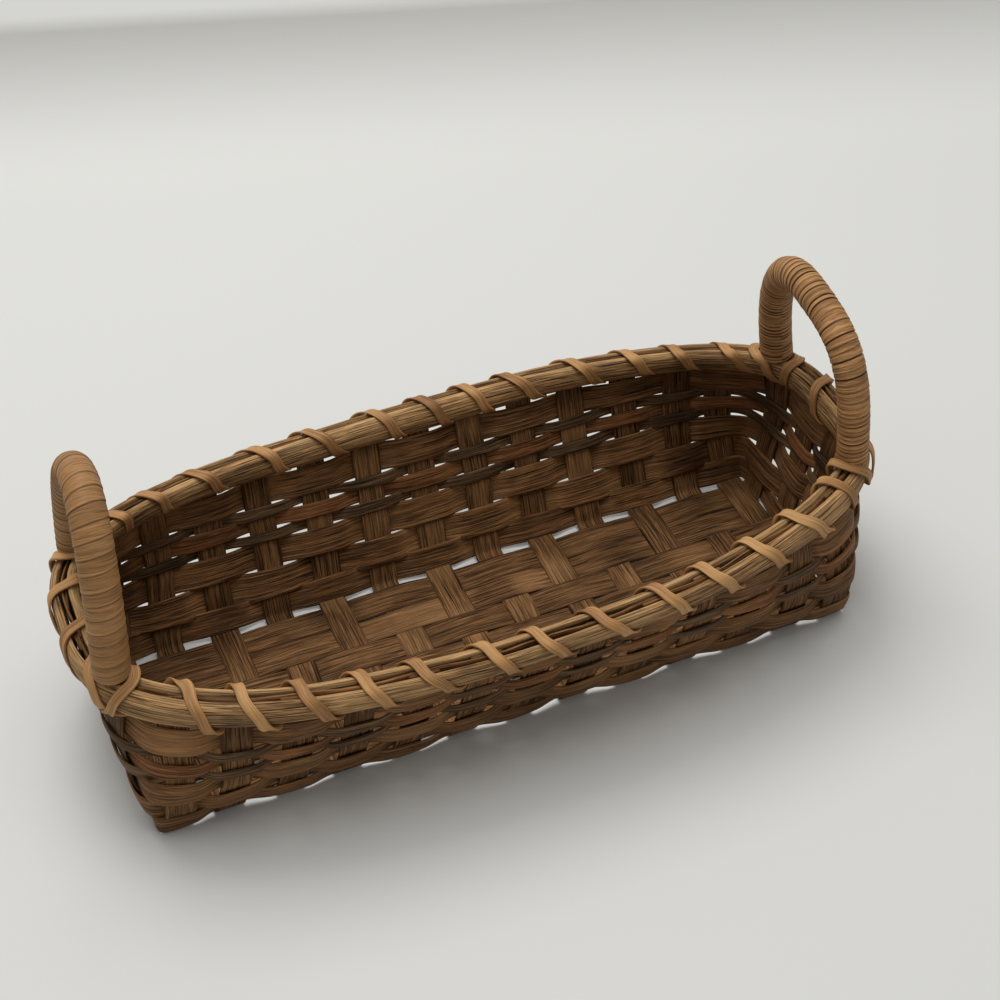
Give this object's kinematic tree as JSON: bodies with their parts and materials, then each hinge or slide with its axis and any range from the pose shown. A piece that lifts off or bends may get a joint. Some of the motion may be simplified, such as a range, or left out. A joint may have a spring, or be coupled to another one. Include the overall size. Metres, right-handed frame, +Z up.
{
  "type": "woven basket",
  "caption": "Long shallow flat-reed basket with flaring sides, a lashed rim and a wrapped upright handle at each end, for bread or as a holder for small things.",
  "frame": {"origin": "middle of the underside, on the surface that the basket stands on", "axes": "+Z up, +X along the basket towards the end with the lower handle, Y across it"},
  "size_m": [0.3522, 0.1684, 0.1537],
  "materials": {
    "stake_reed": "matt, dark stained",
    "weaver_reed": "matt, brown stained",
    "dark_weaver": "matt, grey-brown stained",
    "red_weaver": "matt, red-brown stained",
    "rim_reed": "satin, brown stained",
    "lashing_reed": "satin, tan cane",
    "handle_rod": "matt",
    "handle_wrap": "satin, tan cane"
  },
  "bodies": {
    "root": {"cross_stake_01": "stake_reed", "cross_stake_02": "stake_reed", "cross_stake_03": "stake_reed", "cross_stake_04": "stake_reed", "cross_stake_05": "stake_reed", "cross_stake_06": "stake_reed", "cross_stake_07": "stake_reed", "cross_stake_08": "stake_reed", "cross_stake_09": "stake_reed", "cross_stake_10": "stake_reed", "cross_stake_11": "stake_reed", "cross_stake_12": "stake_reed", "cross_stake_13": "stake_reed", "long_stake_1": "stake_reed", "long_stake_2": "stake_reed", "long_stake_3": "stake_reed", "long_stake_4": "stake_reed", "base_filler_1": "stake_reed", "base_filler_2": "stake_reed", "weaver_row_1": "weaver_reed", "weaver_row_2": "weaver_reed", "weaver_row_3": "weaver_reed", "weaver_row_4": "dark_weaver", "weaver_row_5": "red_weaver", "weaver_row_6": "dark_weaver", "weaver_row_7": "weaver_reed", "rim_row": "weaver_reed", "outer_rim_band": "rim_reed", "inner_rim_band": "rim_reed", "front_lashing": "lashing_reed", "rear_lashing": "lashing_reed", "left_rear_handle_tie": "lashing_reed", "left_front_handle_tie": "lashing_reed", "right_rear_handle_tie": "lashing_reed", "right_front_handle_tie": "lashing_reed", "left_handle_core": "handle_rod", "left_handle_wrap": "handle_wrap", "right_handle_core": "handle_rod", "right_handle_wrap": "handle_wrap"}
  },
  "joints": []
}
